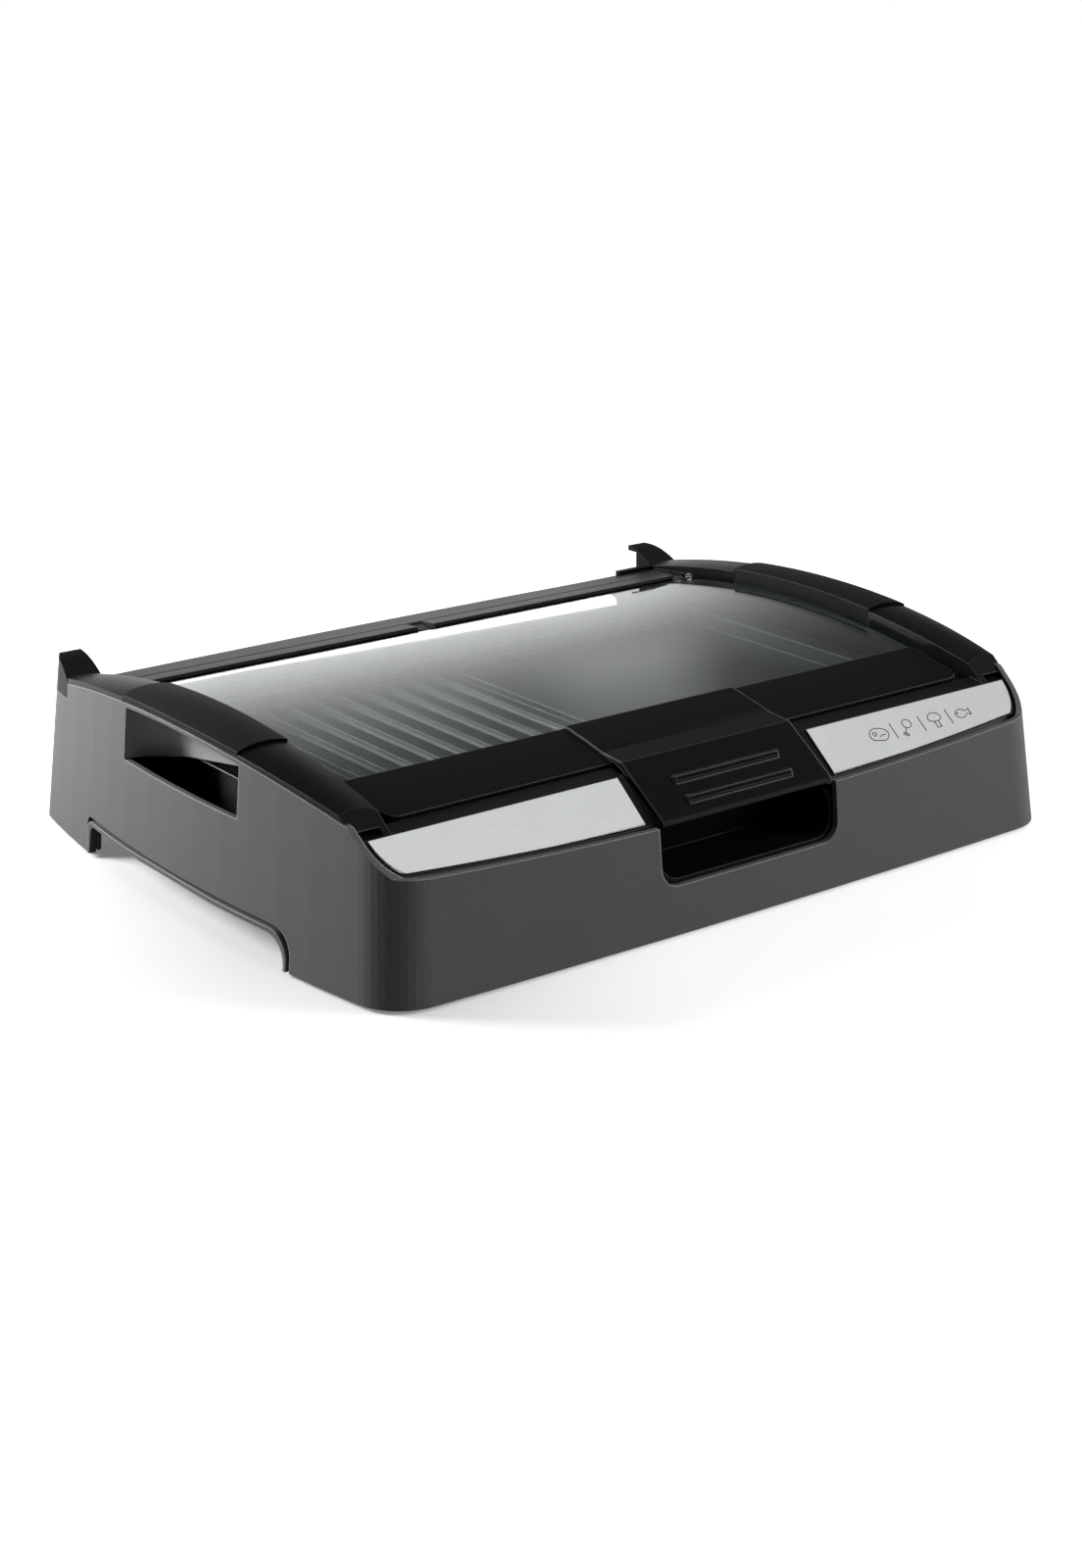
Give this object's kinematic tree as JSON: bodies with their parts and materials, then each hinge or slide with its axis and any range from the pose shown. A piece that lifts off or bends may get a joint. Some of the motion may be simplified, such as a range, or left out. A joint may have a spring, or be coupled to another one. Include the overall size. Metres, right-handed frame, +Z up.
{
  "type": "electric table grill",
  "caption": "Low electric table grill with a moulded housing, a hinged curved glass lid with a folded handle, a cast plate over a heating tube, and a drip tray.",
  "frame": {"origin": "on the table under the middle of the outline of the feet and the housing", "axes": "+X to the right seen from the front, +Y to the rear where the lid is hinged, +Z up"},
  "size_m": [0.4954, 0.399, 0.1118],
  "materials": {
    "housing_plastic": "satin anthracite moulding",
    "frame_plastic": "satin black moulding",
    "grip_plastic": "satin black moulding",
    "lid_plastic": "satin black moulding",
    "base_plastic": "matt black moulding",
    "trim_steel": "brushed lengthwise",
    "pan_steel": "pressed sheet",
    "clip_steel": "zinc plated",
    "tube_steel": "heat darkened tube",
    "hinge_steel": "black coated",
    "bush_steel": "turned",
    "tray_aluminium": "pressed sheet",
    "plate_coating": "cast, dark non-stick coating",
    "pin_brass": "turned",
    "foot_rubber": "matt",
    "lid_glass": "clear toughened glass"
  },
  "bodies": {
    "base": {"housing": "housing_plastic", "top_frame": "frame_plastic", "grip_left": "grip_plastic", "grip_right": "grip_plastic", "trim_left": "trim_steel", "trim_right": "trim_steel", "hook_left": "frame_plastic", "hook_right": "frame_plastic", "base_plate": "base_plastic", "recess_left": "housing_plastic", "recess_right": "housing_plastic", "pan": "pan_steel", "pan_posts": "clip_steel", "drip_tray": "tray_aluminium", "heating_tube": "tube_steel", "tube_clips": "clip_steel", "cooking_plate": "plate_coating", "socket": "base_plastic", "contact_pins": "pin_brass", "probe_sleeve": "pin_brass", "bush_left": "bush_steel", "bush_right": "bush_steel", "foot_front_left": "foot_rubber", "foot_front_right": "foot_rubber", "foot_rear_left": "foot_rubber", "foot_rear_right": "foot_rubber", "base_screws": "clip_steel", "lid_buffers": "foot_rubber"},
    "lid": {"lid_glass": "lid_glass", "lid_band": "lid_plastic", "lid_handle": "lid_plastic", "hinge_left": "hinge_steel", "hinge_right": "hinge_steel", "handle_screws": "clip_steel"}
  },
  "joints": [
    {"name": "lid_hinge", "type": "hinge", "parent": "base", "child": "lid", "pos_m": [0, 0.1065, 0.091], "axis": [-1, 0, 0], "range_deg": [0, 95]}
  ]
}
